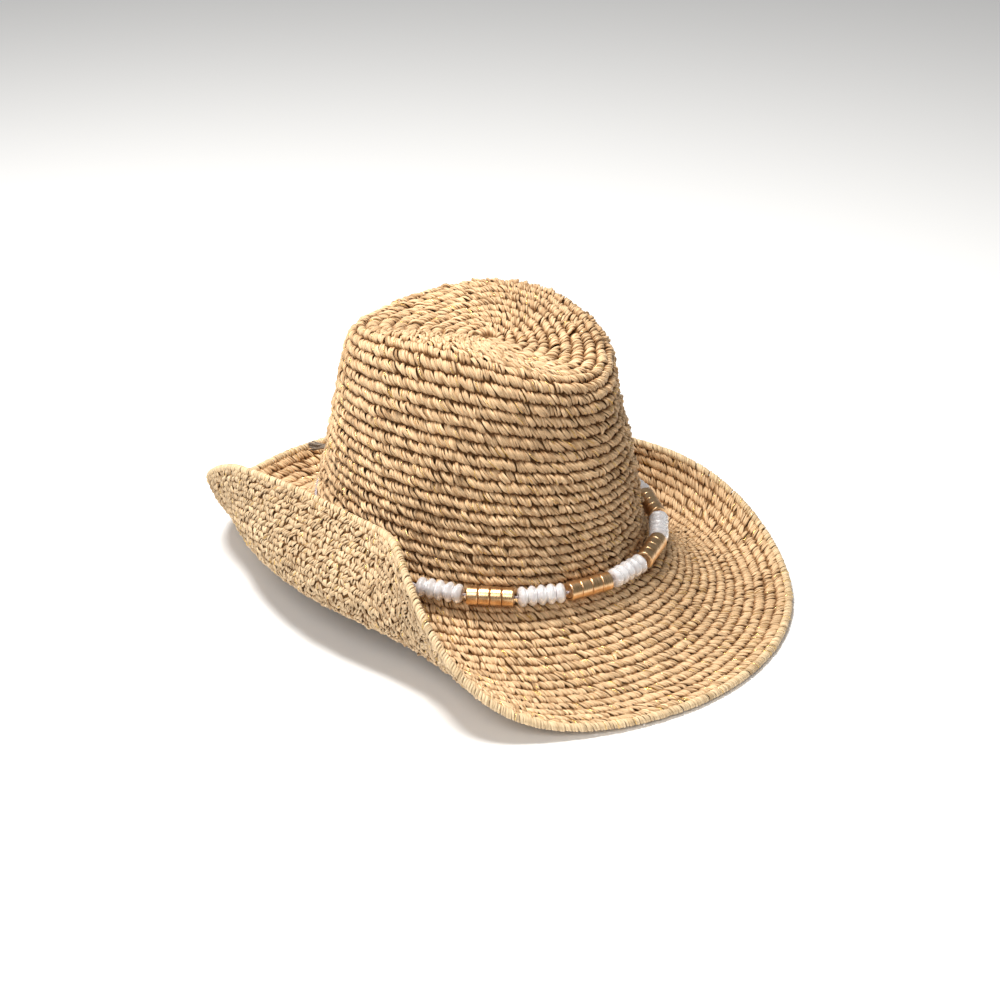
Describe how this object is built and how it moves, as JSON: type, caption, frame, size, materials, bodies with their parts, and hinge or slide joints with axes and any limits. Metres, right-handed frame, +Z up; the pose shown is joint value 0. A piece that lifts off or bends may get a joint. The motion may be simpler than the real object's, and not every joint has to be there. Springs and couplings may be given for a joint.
{
  "type": "cowboy hat",
  "caption": "Crocheted straw cowboy hat with a teardrop crown, a brim rolled up at both sides and a hatband of stone and metal beads on a cord that ties at the back",
  "frame": {"origin": "on the surface the hat stands on, under the middle of its bounding box", "axes": "+Z up through the crown, -Y towards the front of the hat, +X towards the wearer's left"},
  "size_m": [0.2903, 0.365, 0.1677],
  "materials": {
    "raffia_crown": "matte, crocheted straw",
    "raffia_tip": "matte, crocheted straw",
    "raffia_brim": "matte, crocheted straw",
    "raffia_binding": "matte, crocheted straw",
    "sweatband_cloth": "matte woven tape",
    "thread": "matte thread",
    "cord": "waxed cotton",
    "quartz": "frosted, milky",
    "gold_bead": "brushed"
  },
  "bodies": {
    "hat": {"crown_side": "raffia_crown", "crown_tip": "raffia_tip", "brim": "raffia_brim", "brim_edge_binding": "raffia_binding", "sweatband": "sweatband_cloth", "sweatband_stitching": "thread"},
    "hatband": {"hatband_cord": "cord", "hatband_knot": "cord", "hatband_tail_left": "cord", "hatband_tail_right": "cord"},
    "quartz_beads_1": {"quartz_beads_1": "quartz"},
    "gold_beads_1": {"gold_beads_1": "gold_bead"},
    "quartz_beads_2": {"quartz_beads_2": "quartz"},
    "gold_beads_2": {"gold_beads_2": "gold_bead"},
    "quartz_beads_3": {"quartz_beads_3": "quartz"},
    "gold_beads_3": {"gold_beads_3": "gold_bead"},
    "quartz_beads_4": {"quartz_beads_4": "quartz"},
    "gold_beads_4": {"gold_beads_4": "gold_bead"},
    "quartz_beads_5": {"quartz_beads_5": "quartz"}
  },
  "joints": [
    {"name": "hatband_lift_off", "type": "slide", "parent": "hat", "child": "hatband", "axis": [0, 0, 1], "range_m": [0, 0.14]},
    {"name": "quartz_beads_1_spin", "type": "hinge", "parent": "hatband", "child": "quartz_beads_1", "pos_m": [-0.0873, -0.03077, 0.04279], "axis": [0.3053, -0.952, -0.0235], "continuous": true},
    {"name": "gold_beads_1_spin", "type": "hinge", "parent": "hatband", "child": "gold_beads_1", "pos_m": [-0.07553, -0.05638, 0.04231], "axis": [0.5236, -0.8519, -0.011], "continuous": true},
    {"name": "quartz_beads_2_spin", "type": "hinge", "parent": "hatband", "child": "quartz_beads_2", "pos_m": [-0.05771, -0.07816, 0.04212], "axis": [0.7313, -0.6821, -0.0021], "continuous": true},
    {"name": "gold_beads_2_spin", "type": "hinge", "parent": "hatband", "child": "gold_beads_2", "pos_m": [-0.03451, -0.09397, 0.04211], "axis": [0.9024, -0.431, 0.0017], "continuous": true},
    {"name": "quartz_beads_3_spin", "type": "hinge", "parent": "hatband", "child": "quartz_beads_3", "pos_m": [-0.00758, -0.10164, 0.04215], "axis": [0.994, -0.1093, 0.0008], "continuous": true},
    {"name": "gold_beads_3_spin", "type": "hinge", "parent": "hatband", "child": "gold_beads_3", "pos_m": [0.02034, -0.09988, 0.04214], "axis": [0.9723, 0.2336, -0.0015], "continuous": true},
    {"name": "quartz_beads_4_spin", "type": "hinge", "parent": "hatband", "child": "quartz_beads_4", "pos_m": [0.04616, -0.08899, 0.0421], "axis": [0.8461, 0.533, -0.0009], "continuous": true},
    {"name": "gold_beads_4_spin", "type": "hinge", "parent": "hatband", "child": "gold_beads_4", "pos_m": [0.06751, -0.07072, 0.04216], "axis": [0.6572, 0.7537, 0.0048], "continuous": true},
    {"name": "quartz_beads_5_spin", "type": "hinge", "parent": "hatband", "child": "quartz_beads_5", "pos_m": [0.08314, -0.04729, 0.04244], "axis": [0.4437, 0.8961, 0.0153], "continuous": true}
  ]
}
